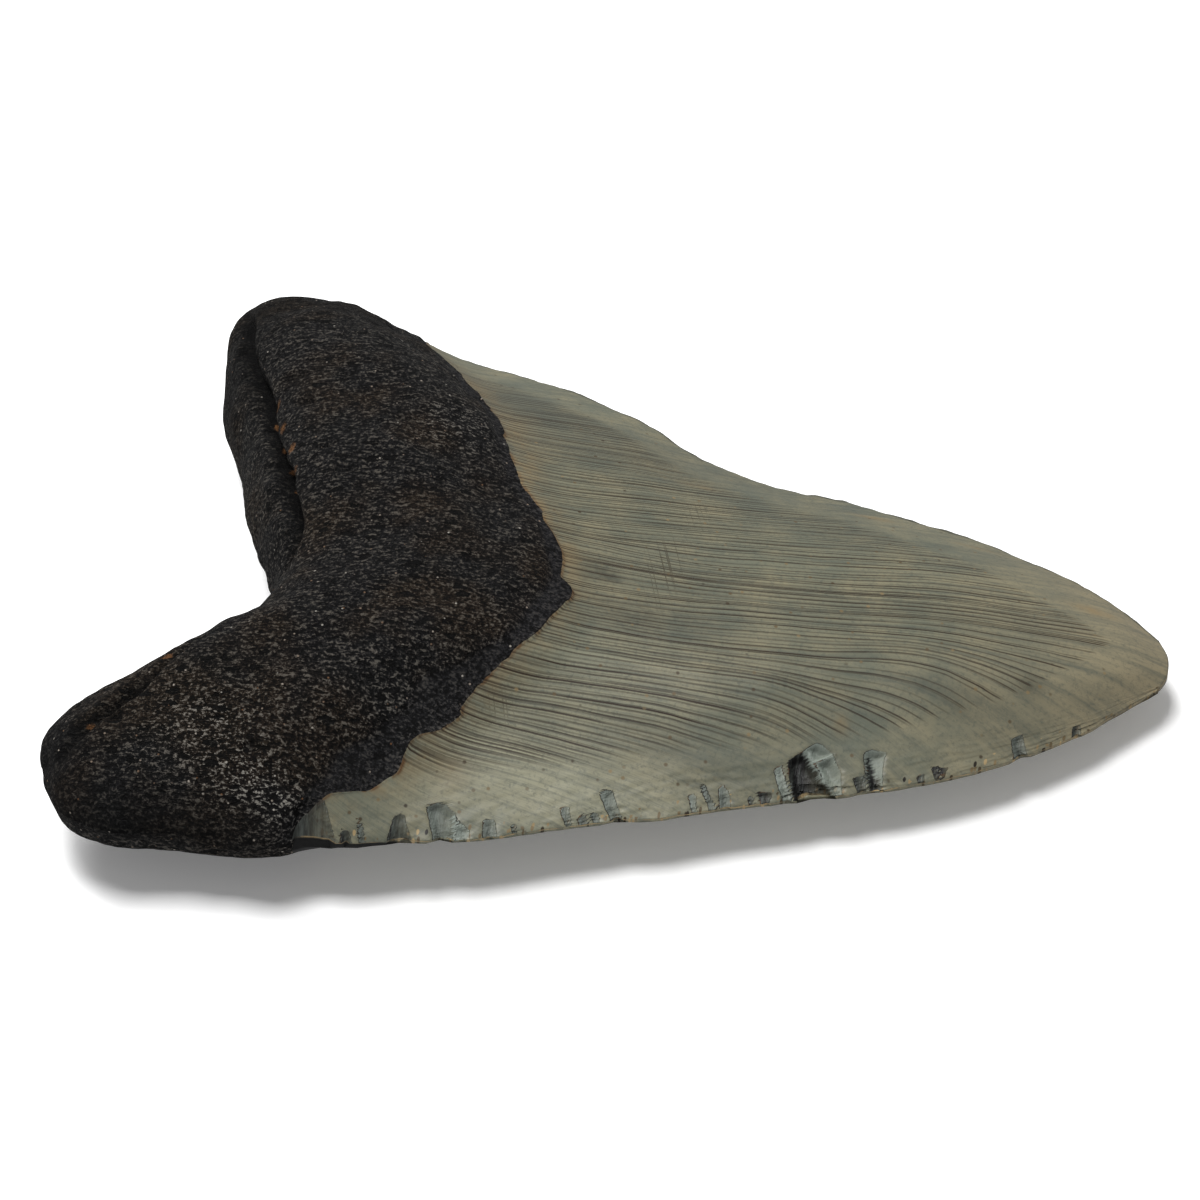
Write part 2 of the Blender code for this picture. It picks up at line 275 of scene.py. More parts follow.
CHIP_RIM = 0.3
CLEAR_OF_CHIPS = 2

# The near lobe's corner is worn round
WORN_CORNER_REACH = 3
WORN_CORNER_SHIFT = np.array([1.6, 0.7])

# Lumps over the surface: (how wide, how high)
ROOT_LUMPS = [(16, 1.1), (7, 0.5), (3, 0.22), (1.4, 0.12)]
CROWN_LUMPS = [(24, 0.3), (5, 0.05)]
LOBE_END_POWER = 8
LOBE_END_LENGTH = 0.06
SMOOTH_TIP_FROM = 0.9
SMOOTH_EDGE_POWER = 4
EDGE_WAVES = [(8, 0.5), (2.2, 0.3), (1.1, 0.15)]
EDGE_WAVES_POWER = 8
SIDES_APART = 100

# The outer face has a pad on each lobe, which it rests on, and a shallow hollow between them
LOBE_PAD_ACROSS = 0.58
LOBE_PAD_WIDTH = 0.22
LOBE_PAD_DROP = 0.9
HOLLOW_WIDTH = 0.28
HOLLOW_ALONG = 0.1
HOLLOW_LENGTH = 0.13
HOLLOW_RISE = 1.2
REST_FLAT = 0.5

# The growth cracks in the enamel flow from the root towards the tip and fan out to the edges.
# Each row follows one long crack: its y at these places along x, both as in the outline
CRACK_X = [-32, -15, 0, 15, 30, 45, 60, 80]
CRACK_ROWS = [[-38, -39.2, -41, -46, -55, -70, -88, -112], [-35.4, -35.3, -35.2, -38, -44, -55, -70, -92],
              [-31.8, -31.5, -31.4, -32.8, -37, -47, -60, -78],
              [-29.5, -27.5, -25.2, -24.4, -25.6, -35, -48, -66],
              [-25.6, -22.8, -20.2, -18.9, -18.2, -22, -34, -52],
              [-23.6, -20.8, -18, -16.9, -16.2, -16, -22, -36],
              [-20.8, -17.6, -14.8, -13.8, -12, -8.6, -11, -17],
              [-18, -14.6, -11.7, -10.1, -8, -5.4, -4.8, -5],
              [-13.6, -10.7, -8.7, -6.9, -4.7, -1.5, 0.7, 3], [-8.6, -5.6, -3.3, -2.4, -0.5, 2.7, 5.2, 9],
              [-3.6, -0.9, 1, 1.6, 4.4, 8.5, 11.5, 16], [-1.6, 1.2, 3.6, 6.7, 10, 13.6, 17, 22],
              [3.6, 7.6, 11.5, 15.5, 20, 24.6, 29, 35], [13, 16.8, 19.8, 24.4, 29.4, 34.6, 39.6, 46],
              [24, 29, 33.5, 39, 45, 51, 57, 65]]

# The cracks stop short of both edges and the tip: (place along, place across)
CRACKS_NEAR_LIMIT = [(0.2, -0.9), (0.4, -0.86), (0.55, -0.82), (0.7, -0.78), (0.8, -0.6),
                     (0.88, -0.25), (0.92, 0)]
CRACKS_FAR_LIMIT = [(0.2, 0.95), (0.38, 0.87), (0.5, 0.78), (0.65, 0.75), (0.78, 0.6),
                    (0.88, 0.25), (0.92, 0)]
CRACKS_FADE = 0.1
LINE_SPACING = 1
LONG_CRACK_REACH = 0.6

# Marks: (x, y, how long, how wide, how strong). Dark stains, with painted shade among them over the root's
# far top, near end, underside and end and over the crown's far half;
# pale patches of painted sheen on the near lobe and the crown's near part; clay left in the root's grooves,
# where the enamel is scratched, and rust stains on the enamel
DARK_STAINS_AND_SHADE = [(1.3, -4.9, 3, 1.6, 1), (59.9, -8.5, 1.6, 1.3, 0.9), (8, -11.5, 9, 3, 0.6),
               (9, 32, 24, 9, 0.35), (50, -13, 7, 3.5, 0.4), (34, 19, 16, 6, 0.2), (22, -30, 14, 4, 0.3),
               (-48, 55, 14, 9, 0.8), (-66, -44, 7, 9, 0.8), (-47, -54, 22, 4, 0.8), (-59, 30, 5, 26, 0.6)]
PAINTED_SHEEN_PATCHES = [(-44, -42, 8, 5, 0.7), (-38, -48, 6, 3, 1), (-31, -50, 4, 2.5, 1), (-22, 19, 6, 6, 0.5),
                (-4, -36, 20, 7, 0.8), (6, -22, 14, 6, 0.4), (73, 4, 8, 9, 0.3)]
CLAY_CRUMBS = [(-49.2, 24.6, 0.7, 1.6, 1), (-44.4, 12.6, 0.7, 1.4, 1), (-46.8, 18, 0.6, 1.5, 0.9),
               (-43, 8, 0.5, 0.8, 0.9), (-52.8, -29.2, 1.2, 0.9, 1), (-60.3, -40.6, 0.9, 0.7, 0.9)]
SCRATCHED = [(9.5, -1, 2.2, 7, 1), (-8.5, -29, 2, 1.8, 0.8), (12, 15, 1.5, 4, 0.6)]
RUST_STAINS = [(67.5, 10.4, 3, 1.1, 1), (36.1, 26.1, 2.6, 0.8, 0.8), (50.6, 22.9, 3, 0.7, 0.7),
               (11.3, 24, 2.4, 0.9, 0.6), (35.6, -20.9, 0.9, 1.2, 0.9), (-14, -37.5, 2.5, 2.5, 0.5),
               (-24, 37, 4, 4, 0.5), (-17, 27, 3.5, 6, 0.6), (-12, 15, 2.5, 6, 0.7), (-8, 4, 2, 5, 0.6),
               (-4, -3.5, 2, 3.5, 0.5), (-3.5, -14, 1.6, 2.5, 0.6)]


def smooth_curve(places, values):
    """A smooth curve through the values, each at its place, as a function of place."""
    places, values = np.array(places, float), np.array(values, float)
    slopes = np.gradient(values, places, axis=0)

    def at(place):
        place = np.clip(place, places[0], places[-1])
        i = np.clip(np.searchsorted(places, place, side="right") - 1, 0, len(places) - 2)
        width = places[i + 1] - places[i]
        f = (place - places[i]) / width
        if values.ndim > 1:
            width, f = width[:, None], f[:, None]
        return (
            values[i] * (1 + 2 * f) * (1 - f) ** 2
            + slopes[i] * width * f * (1 - f) ** 2
            + values[i + 1] * f**2 * (3 - 2 * f)
            + slopes[i + 1] * width * f**2 * (f - 1)
        )

    return at


def curve_through(points):
    """A smooth curve through the points, as a function of the share of its length."""
    steps = np.linalg.norm(np.diff(points, axis=0), axis=1)
    share = np.concatenate([[0], np.cumsum(steps)]) / steps.sum()
    return smooth_curve(share, points)


def profile(stations):
    """A smooth curve through (place, value) stations."""
    places, values = zip(*stations)
    return smooth_curve(places, values)


def straight(stations, place):
    """Straight lines through (place, value) stations, read at each place."""
    places, values = zip(*stations)
    return np.interp(place, places, values)


def ease(value, low, high):
    """0 below low, 1 above high, and smooth in between."""
    f = np.clip((value - low) / (high - low), 0, 1)
    return f * f * (3 - 2 * f)


def bump(value, middle, width):
    """1 at the middle, falling away smoothly over about its width."""
    return np.exp(-(((value - middle) / width) ** 2))


def lumps(points, layers):
    """Smooth lumps over the points, from layers of (how wide, how high)."""
    return sum(
        height * np.array([noise.noise(Vector(point) / width) for point in points])
        for width, height in layers
    )


def crownness(across, along):
    """0 on the root and 1 on the crown. The far shoulder is nearer to the root's end than the near one."""
    shoulder = SHOULDER_ALONG - SHOULDER_SLANT * across - SHOULDER_DROOP * across**2
    return ease(along, shoulder - SHOULDER_BLEND, shoulder + SHOULDER_BLEND)


def outline_plan(across, along):
    """Where a place lies seen from above, filled in smoothly between the four sides."""
    a = ((across + 1) / 2)[:, None]
    t = along[:, None]
    near, far = curve_through(NEAR_SIDE)(along), curve_through(FAR_SIDE)(along)
    root, tip = curve_through(ROOT_SIDE)(a[:, 0]), curve_through(TIP_SIDE)(a[:, 0])
    corners = (
        (1 - a) * (1 - t) * NEAR_SIDE[0]
        + a * (1 - t) * FAR_SIDE[0]
        + (1 - a) * t * np.array(NEAR_SIDE[-1])
        + a * t * np.array(FAR_SIDE[-1])
    )
    return (1 - a) * near + a * far + (1 - t) * root + t * tip - corners


def swell(across, along, stations, crown_power, root_power):
    """How far a face stands off the rim: round at the root's rim, and like a lens at the crown's edges."""
    crown = crownness(across, along)
    flatness = ROOT_FLATNESS + (CROWN_FLATNESS - ROOT_FLATNESS) * crown
    inside = np.clip(1 - np.abs(across) ** flatness, 0, 1)
    sides = inside ** (root_power + (crown_power - root_power) * crown)
    rounding = ROOT_ROUNDING + (FAR_LOBE_ROUNDING - ROOT_ROUNDING) * np.clip(across, 0, 1) ** 4
    from_root = 1 - np.clip(along / rounding, 0, 1)
    return profile(stations)(along) * sides * np.sqrt(1 - from_root**2)


def smooth_form(across, along, up):
    """The surface point of the smooth tooth for each place."""
    gap = ROOT_RIM_GAP + (CUTTING_EDGE_GAP - ROOT_RIM_GAP) * crownness(across, along)
    inner = swell(across, along, INNER_SWELL, INNER_CROWN_POWER, INNER_ROOT_POWER)
    outer = swell(across, along, OUTER_SWELL, OUTER_CROWN_POWER, OUTER_ROOT_POWER)
    height = profile(RIM_HEIGHT)(along) + up * gap + np.where(up > 0, inner, -outer)
    return np.column_stack([outline_plan(across, along), height])


def enamel_start(across, up):
    """How far along the enamel starts, on the inner or the outer face."""
    beside = np.column_stack([across * SIDES_APART / 2, np.zeros_like(across), up])
    jags = lumps(beside, JAGS)
    return jags + np.where(up > 0, straight(INNER_ENAMEL, across), profile(OUTER_ENAMEL)(across))


def groove(across, along, stations, wander):
    """Depth of a groove that follows its stations."""
    acrosses, alongs, depths = zip(*stations)
    middle = np.interp(across, acrosses, alongs) + wander
    return np.interp(across, acrosses, depths) * bump(along, middle, GROOVE_HALF_WIDTH)


def marked(points, marks):
    """How strongly the marks, each (x, y, length, width, strength), reach each point."""
    return sum(
        strength * np.exp(-(((points[:, 0] - x) / length) ** 2) - ((points[:, 1] - y) / width) ** 2)
        for x, y, length, width, strength in marks
    )


# Two sheets, a fine one for the inner face and a coarser one for the outer, joined at the rim
bm = bmesh.new()
for height, (rows, columns) in ((1, INNER_CUTS), (-1, OUTER_CUTS)):
    made = bmesh.ops.create_grid(bm, x_segments=rows, y_segments=columns, size=1)
    bmesh.ops.translate(bm, verts=made["verts"], vec=(0, 0, height))
rim = [edge for edge in bm.edges if edge.is_boundary]
bmesh.ops.bridge_loops(bm, edges=rim)

places = np.array([v.co[:] for v in bm.verts])
up = places[:, 2]
row = (places[:, 0] + 1) / 2
across = EDGE_CROWDING * np.sin(places[:, 1] * np.pi / 2) + (1 - EDGE_CROWDING) * places[:, 1]
enamel = enamel_start(across, up)
on_root = np.clip(row / ENAMEL_SHARE, 0, 1) ** ROW_CROWDING
on_crown = np.clip((row - ENAMEL_SHARE) / (1 - ENAMEL_SHARE), 0, 1)
along = enamel * on_root + (1 - enamel) * on_crown

points = smooth_form(across, along, up)
near_edge, far_edge = curve_through(NEAR_SIDE)(along), curve_through(FAR_SIDE)(along)
half_width = (far_edge[:, 1] - near_edge[:, 1]) / 2
from_near = (1 + across) * half_width
from_far = (1 - across) * half_width

past_chip = np.full_like(along, CLEAR_OF_CHIPS)
chip_darkness = np.zeros_like(along)
chip_side = np.zeros_like(along)
chip_depth = np.zeros_like(along)
upright = near_edge[:, 0] + CHIP_LEAN * from_near
for depth, darkness, corners in CHIPS:
    corners = np.array(corners, float)
    sides = np.roll(corners, -1, axis=0) - corners
    sides /= np.linalg.norm(sides, axis=1)[:, None]
    past = np.max(
        [(from_near - y) * dx - (upright - x) * dy for (x, y), (dx, dy) in zip(corners, sides)], axis=0
    )
    left, right = corners[:, 0].min(), corners[:, 0].max()
    chip_darkness = np.where(past < CHIP_RIM, darkness, chip_darkness)
    chip_side = np.where(past < CHIP_RIM, (upright - left) / (right - left), chip_side)
    past_chip = np.where(past < 0, past, np.minimum(past, past_chip))
    chip_depth = np.maximum(chip_depth, depth * ease(-past, 0, CHIP_WALL))
chip_depth *= up > 0

from_corner = np.linalg.norm(points[:, :2] - NEAR_SIDE[0], axis=1)
points[:, :2] += np.exp(-from_corner / WORN_CORNER_REACH)[:, None] * WORN_CORNER_SHIFT
side = np.column_stack([points[:, 0], SIDES_APART * across, np.zeros_like(along)])
bites = CHIP_BITE * ease(-past_chip, 0, CHIP_WALL) * (1 - ease(from_near, 0, CHIP_BITE_REACH))
points[:, 1] += lumps(side, EDGE_WAVES) * across**EDGE_WAVES_POWER + bites

for vertex, point in zip(bm.verts, points):
    vertex.co = Vector(point)
bmesh.ops.recalc_face_normals(bm, faces=bm.faces)
bm.normal_update()

root = 1 - ease(along, enamel - LEDGE_WIDTH, enamel + LEDGE_WIDTH)
band_start = straight(BAND_START, across)
band = root * ease(along, band_start - BAND_BLEND, band_start + BAND_BLEND) * (up > 0)
rough = root * (1 - band)
on_root = lumps(points, ROOT_LUMPS)
on_root *= 1 - across**LOBE_END_POWER * bump(along, 0, LOBE_END_LENGTH)
wander = lumps(points, [(GROOVE_WANDER_LENGTH, GROOVE_WANDER)])
grooves = groove(across, along, FAR_GROOVE, wander) + groove(across, along, NEAR_GROOVE, wander)
pores = marked(points, PORES)
off_the_edges = (1 - across**SMOOTH_EDGE_POWER) * (1 - ease(along, SMOOTH_TIP_FROM, 1))
inner = rough * (ROOT_STANDS_PROUD + on_root) - grooves - pores
inner += band * (ROOT_STANDS_PROUD - BAND_SUNK * bump(band, 0.5, BAND_SUNK_SPREAD) + on_root / 2)
inner += (1 - root) * lumps(points, CROWN_LUMPS) * off_the_edges - chip_depth
pads = LOBE_PAD_DROP * bump(np.abs(across), LOBE_PAD_ACROSS, LOBE_PAD_WIDTH) * root
hollow = HOLLOW_RISE * bump(across, 0, HOLLOW_WIDTH) * bump(along, HOLLOW_ALONG, HOLLOW_LENGTH)
outer = root * on_root / 2 + pads - hollow
normals = np.array([v.normal[:] for v in bm.verts])
points = points + normals * np.where(up > 0, inner, outer)[:, None]

# It rests on the same flat spots as the solid and fills the same box
points[:, 2] = np.maximum(points[:, 2], points[:, 2].min() + REST_FLAT)
low, high = points.min(axis=0), points.max(axis=0)
box_low, box_high = (np.array(corner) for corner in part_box("tooth"))
for vertex, point in zip(bm.verts, box_low + (points - low) * (box_high - box_low) / (high - low)):
    vertex.co = Vector(point)
mesh = bpy.data.meshes.new("fossil_tooth")
bm.to_mesh(mesh)
bm.free()
mesh.shade_smooth()

# What the materials need to know at each point, in millimetres or as a share from 0 to 1
crack_places = [smooth_curve(CRACK_X, ys)(points[:, 0]) for ys in CRACK_ROWS]
line_number = np.zeros_like(along)
line_gap = np.ones_like(along)
to_long_crack = np.full_like(along, LONG_CRACK_REACH)
last = len(CRACK_ROWS) - 1
middle = CRACK_X.index(0)
for i in range(last):
    gap = crack_places[i + 1] - crack_places[i]
    lines_between = round((CRACK_ROWS[i + 1][middle] - CRACK_ROWS[i][middle]) / LINE_SPACING)
    f = (points[:, 1] - crack_places[i]) / gap
    f = np.clip(f, -np.inf if i == 0 else 0, np.inf if i == last - 1 else 1)
    line_number += f * lines_between
    line_gap = np.where((f > 0) | (i == 0), gap / lines_between, line_gap)
    to_long_crack = np.minimum(to_long_crack, np.abs(points[:, 1] - crack_places[i]))
near_limit = straight(CRACKS_NEAR_LIMIT, along)
far_limit = straight(CRACKS_FAR_LIMIT, along)
cracked = ease(across, near_limit, near_limit + CRACKS_FADE)
cracked *= ease(-across, -far_limit, -far_limit + CRACKS_FADE)
inner_face = up > 0

for name, values in (
    ("length_mm", points[:, 0]),
    ("line_number", line_number),
    ("line_gap_mm", line_gap),
    ("long_crack", 1 - to_long_crack / LONG_CRACK_REACH),
    ("cracked", cracked),
    ("near_edge_mm", from_near),
    ("far_edge_mm", from_far),
    ("under_edge", ~inner_face),
    ("past_root_mm", (along - enamel) * LENGTH_MM),
    ("past_chip_mm", np.where(inner_face, past_chip, CLEAR_OF_CHIPS)),
    ("chip_darkness", chip_darkness),
    ("chip_side", chip_side),
    ("band", band),
    ("lowered", np.clip(grooves / 2 + pores, 0, 1)),
    ("pale", marked(points, PAINTED_SHEEN_PATCHES) * inner_face),
    ("clay", marked(points, CLAY_CRUMBS) * inner_face),
    ("scratched", marked(points, SCRATCHED) * inner_face),
    ("dark_stain_and_shade", marked(points, DARK_STAINS_AND_SHADE) * inner_face),
    ("rust_stain", marked(points, RUST_STAINS) * inner_face),
):
    attribute = mesh.attributes.new(name, "FLOAT", "POINT")
    attribute.data.foreach_set("value", values.astype(np.float32))
root_side = np.array([row[list(face.vertices)].mean() < ENAMEL_SHARE for face in mesh.polygons])
mesh.polygons.foreach_set("material_index", (~root_side).astype(np.int32))


# Fossil root: porous dentine turned black by minerals, rough as leather, and dull but for a
# slight sheen on its high spots. Brown clay stays in its grooves. The grain and fibres are finer
# on the real root, and are drawn as coarse as they need to show
ROOT_BLACK = linear("#161617")
ROOT_BROWN = linear("#221a12")
ROOT_PORE_AND_SHADE = linear("#020202")
ROOT_PALE = linear("#716b62")
BAND_BLUE_BLACK = linear("#1a1a1c")
CLAY = linear("#5f4127")
CALCITE_AND_SHEEN = linear("#9b978f")
GRAIN_MM = 0.45
FIBRE_MM = (1.3, 0.42, 0.6)
FIBRE_TURN = math.radians(-30)
PEBBLE_MM = 1.1
PORE_MM = (3.4, 1.5, 1.5)
SPECK_MM = 1.1
PATCH_MM = 14
ROOT_RELIEF = 0.0006

black_root, tree, shader = new_material("fossil_root_dentine")
place = add(tree, "TexCoord", {}).outputs["Object"]
known = {name: add(tree, "Attribute", {}, attribute_name=name).outputs["Fac"]
         for name in ("band", "pale", "lowered", "clay", "dark_stain_and_shade")}

patches = add(tree, "TexNoise", {"Vector": place, "Scale": per_metre(PATCH_MM), "Detail": 3.0})
brownness = add(tree, "MapRange", {"Value": patches, "From Min": 0.45, "From Max": 0.6})
colour = add(tree, "MixRGB", {"Fac": brownness, "Color1": ROOT_BLACK, "Color2": ROOT_BROWN})
colour = add(tree, "MixRGB", {"Fac": known["band"], "Color1": colour, "Color2": BAND_BLUE_BLACK})

# Grain and fibres: black in the hollows and pale on the crests, paler still as painted sheen in the pale
# patches
grain = add(tree, "TexNoise", {"Vector": place, "Scale": per_metre(GRAIN_MM), "Detail": 3.0,
                               "Roughness": 0.7})
turned = add(tree, "Mapping", {"Vector": place, "Rotation": (0, 0, FIBRE_TURN),
                               "Scale": [per_metre(size) for size in FIBRE_MM]})
fibres = add(tree, "TexNoise", {"Vector": turned, "Scale": 1.0, "Detail": 3.0, "Roughness": 0.7,
                                "Distortion": 0.6})
texture = add(tree, "Math", {0: grain, 1: fibres}, operation="ADD")
hollows = add(tree, "MapRange", {"Value": texture, "From Min": 1.02, "From Max": 0.94, "To Max": 0.9})
colour = add(tree, "MixRGB", {"Fac": hollows, "Color1": colour, "Color2": ROOT_PORE_AND_SHADE})
# Painted shade: the dark stains on the root make its far top, near end, underside and end blacker, and dim
# the pale crests there
painted_shade = add(tree, "Math", {0: known["dark_stain_and_shade"], 1: 0.8}, operation="MULTIPLY")
colour = add(tree, "MixRGB", {"Fac": painted_shade, "Color1": colour, "Color2": ROOT_PORE_AND_SHADE})
paleness = add(tree, "MapRange", {"Value": known["pale"], "To Min": 0.4, "To Max": 0.8})
paleness = add(tree, "Math", {0: painted_shade, 1: -0.5, 2: paleness}, operation="MULTIPLY_ADD")
unbanded = add(tree, "MapRange", {"Value": known["band"], "To Min": 1.0, "To Max": 0.3})
paleness = add(tree, "Math", {0: paleness, 1: unbanded}, operation="MULTIPLY")
crests = add(tree, "MapRange", {"Value": texture, "From Min": 1.06, "From Max": 1.17})
crests = add(tree, "Math", {0: crests, 1: paleness}, operation="MULTIPLY")
crest_and_sheen_colour = add(tree, "MixRGB", {"Fac": known["pale"], "Color1": ROOT_PALE, "Color2": CALCITE_AND_SHEEN})
colour = add(tree, "MixRGB", {"Fac": crests, "Color1": colour, "Color2": crest_and_sheen_colour})

# Open pores and the grooves blackened as painted shade, then specks of clay and calcite, more of them where
# the painted sheen lies, and crumbs of clay in the grooves
pore_place = add(tree, "Mapping", {"Vector": place, "Scale": [per_metre(size) for size in PORE_MM]})
pore_cells = add(tree, "TexVoronoi", {"Vector": pore_place, "Scale": 1.0})
pore_edge = add(tree, "Math", {0: texture, 1: 0.5, 2: pore_cells.outputs["Distance"]},
                operation="MULTIPLY_ADD")
pore = add(tree, "MapRange", {"Value": pore_edge, "From Min": 0.86, "From Max": 0.8})
pore_random = add(tree, "SeparateColor", {"Color": pore_cells.outputs["Color"]})
open_pore = add(tree, "MapRange", {"Value": pore_random.outputs["Red"], "From Min": 0.65, "From Max": 0.7})
pore = add(tree, "Math", {0: pore, 1: open_pore}, operation="MULTIPLY")
pore_and_groove_shade = add(tree, "Math", {0: pore, 1: known["lowered"]}, operation="MAXIMUM")
dark = add(tree, "Math", {0: pore_and_groove_shade, 1: 0.9}, operation="MULTIPLY")
colour = add(tree, "MixRGB", {"Fac": dark, "Color1": colour, "Color2": ROOT_PORE_AND_SHADE})

specks = add(tree, "TexVoronoi", {"Vector": place, "Scale": per_metre(SPECK_MM)})
speck = add(tree, "MapRange", {"Value": specks.outputs["Distance"], "From Min": 0.16, "From Max": 0.1})
speck_random = add(tree, "SeparateColor", {"Color": specks.outputs["Color"]})
rarity = add(tree, "MapRange", {"Value": known["pale"], "To Min": 0.82, "To Max": 0.5})
picked = add(tree, "Math", {0: speck_random.outputs["Red"], 1: rarity}, operation="GREATER_THAN")
speck = add(tree, "Math", {0: speck, 1: picked}, operation="MULTIPLY")
speck_colour = add(tree, "MixRGB", {"Fac": speck_random.outputs["Green"], "Color1": CLAY, "Color2": CALCITE_AND_SHEEN})
colour = add(tree, "MixRGB", {"Fac": speck, "Color1": colour, "Color2": speck_colour})
crumbs = add(tree, "Math", {0: known["clay"], 1: grain}, operation="MULTIPLY")
crumbs = add(tree, "MapRange", {"Value": crumbs, "From Min": 0.25, "From Max": 0.45})
colour = add(tree, "MixRGB", {"Fac": crumbs, "Color1": colour, "Color2": CLAY})
tree.links.new(colour.outputs[0], shader.inputs["Base Color"])

pebbles = add(tree, "TexVoronoi", {"Vector": place, "Scale": per_metre(PEBBLE_MM)}, feature="SMOOTH_F1")
height = add(tree, "Math", {0: pebbles.outputs["Distance"], 1: -0.5, 2: texture}, operation="MULTIPLY_ADD")
height = add(tree, "Math", {0: height, 1: pore}, operation="SUBTRACT")
strength = add(tree, "MapRange", {"Value": known["band"], "To Min": 1.0, "To Max": 0.35})
relief = add(tree, "Bump", {"Height": height, "Strength": strength, "Distance": ROOT_RELIEF})
tree.links.new(relief.outputs[0], shader.inputs["Normal"])
dullness = add(tree, "MapRange", {"Value": grain, "From Min": 0.3, "From Max": 0.7, "To Min": 0.75,
                                  "To Max": 0.5})
tree.links.new(dullness.outputs[0], shader.inputs["Roughness"])
shader.inputs["IOR"].default_value = 1.5
shader.inputs["Specular IOR Level"].default_value = 0.15


# Fossil enamel: hard, smooth and slightly glossy, grey-green with warm and bluish clouds. Fine
# growth cracks run along it, and iron has stained them brown
ENAMEL_WARM = linear("#7a755f")
ENAMEL_GREY = linear("#5f6255")
ENAMEL_BLUE = linear("#484d46")
ENAMEL_PAINTED_SHEEN = linear("#908e78")
ENAMEL_TIP = linear("#83785f")
ENAMEL_CRACK = linear("#24170b")
ENAMEL_STAIN = linear("#7b6a4c")
ENAMEL_RUST = linear("#54391f")
ENAMEL_DARK = linear("#33352f")
EDGE_TAN = linear("#9a8662")
CHIP_PALE = linear("#7b837b")
CHIP_DARK_AND_SHADE = linear("#141414")
RIM_SHADOW_AND_FLECK_DARK = linear("#14110d")
CRACK_HALF_MM = 0.14
CLOUD_MM = 10
SPOT_MM = 1.7
FLECK_MM = (0.6, 0.9)
ETCH_MM = 0.6
SCRATCH_MM = 0.9
SCRATCH_TURN = math.radians(-16)
RAGGED_MM = 3
POLISH_MM = 1.5
TIP_TONE_MM = (45.0, 78.0)
BLACK_WALL_MM = (-18.0, -24.0)
STAIN_STRENGTH = 0.9
SCRATCH_STRENGTH = 0.7
ENAMEL_RELIEF = 0.00006
CHIP_RIDGES = 4.0

# The scales of what flows with the growth cracks: along it per millimetre, and across per crack
STREAK_SCALE = (0.05, 1.1, 1)
WAVER_SCALE = (0.06, 0.2, 1)
FADE_SCALE = (0.06, 0.9, 1)

# The ridges in a chip run in from the edge: their scale along the edge and in from it
FACET_SCALE = (2.4, 0.3, 1)
FACET_TURN = 0.25

grey_enamel, tree, shader = new_material("fossil_enamel")
place = add(tree, "TexCoord", {}).outputs["Object"]
known = {name: add(tree, "Attribute", {}, attribute_name=name).outputs["Fac"]
         for name in ("length_mm", "line_number", "line_gap_mm", "long_crack", "cracked", "near_edge_mm",
                      "far_edge_mm", "under_edge", "past_root_mm", "past_chip_mm", "chip_darkness",
                      "chip_side", "pale", "scratched", "dark_stain_and_shade", "rust_stain")}
flow = add(tree, "CombineXYZ", {"X": known["length_mm"], "Y": known["line_number"]})

clouds = add(tree, "TexNoise", {"Vector": place, "Scale": per_metre(CLOUD_MM), "Detail": 6.0,
                                "Roughness": 0.65})
cloud = add(tree, "MapRange", {"Value": clouds, "From Min": 0.35, "From Max": 0.65})
colour = add(tree, "MixRGB", {"Fac": cloud, "Color1": ENAMEL_GREY, "Color2": ENAMEL_WARM})
# Painted sheen: the pale patches lighten the crown's near part and tip
colour = add(tree, "MixRGB", {"Fac": known["pale"], "Color1": colour, "Color2": ENAMEL_PAINTED_SHEEN})
near_tip = add(tree, "MapRange", {"Value": known["length_mm"], "From Min": TIP_TONE_MM[0],
                                  "From Max": TIP_TONE_MM[1], "To Max": 0.8})
colour = add(tree, "MixRGB", {"Fac": near_tip, "Color1": colour, "Color2": ENAMEL_TIP})
streak_place = add(tree, "Mapping", {"Vector": flow, "Scale": STREAK_SCALE})
streaks = add(tree, "TexNoise", {"Vector": streak_place, "Scale": 1.0, "Detail": 5.0, "Roughness": 0.75})
streak = add(tree, "MapRange", {"Value": streaks, "From Min": 0.45, "From Max": 0.7, "To Max": 0.75})
colour = add(tree, "MixRGB", {"Fac": streak, "Color1": colour, "Color2": ENAMEL_BLUE})
etching = add(tree, "TexNoise", {"Vector": place, "Scale": per_metre(ETCH_MM), "Detail": 4.0,
                                 "Roughness": 0.7})
etched = add(tree, "MapRange", {"Value": etching, "From Min": 0.5, "From Max": 0.75, "To Max": 0.7})
colour = add(tree, "MixRGB", {"Fac": etched, "Color1": colour, "Color2": ENAMEL_BLUE})

# Iron stains: ochre beside the root, a rust line where it meets it, and single stains, among which the dark
# ones also paint shade over the crown's far half
past_root = known["past_root_mm"]
by_root = add(tree, "MapRange", {"Value": past_root, "From Min": 5.0, "From Max": 0.0, "To Max": 0.55})
ragged = add(tree, "TexNoise", {"Vector": place, "Scale": per_metre(RAGGED_MM), "Detail": 5.0,
                                "Roughness": 0.7})
ragged = add(tree, "MapRange", {"Value": ragged, "From Min": 0.4, "From Max": 0.6})
by_root = add(tree, "Math", {0: by_root, 1: ragged}, operation="MULTIPLY")
colour = add(tree, "MixRGB", {"Fac": by_root, "Color1": colour, "Color2": ENAMEL_STAIN})
at_root = add(tree, "MapRange", {"Value": past_root, "From Min": 0.5, "From Max": 0.2, "To Max": 0.9})
at_root = add(tree, "Math", {0: at_root, 1: ragged}, operation="MULTIPLY")
colour = add(tree, "MixRGB", {"Fac": at_root, "Color1": colour, "Color2": ENAMEL_RUST})

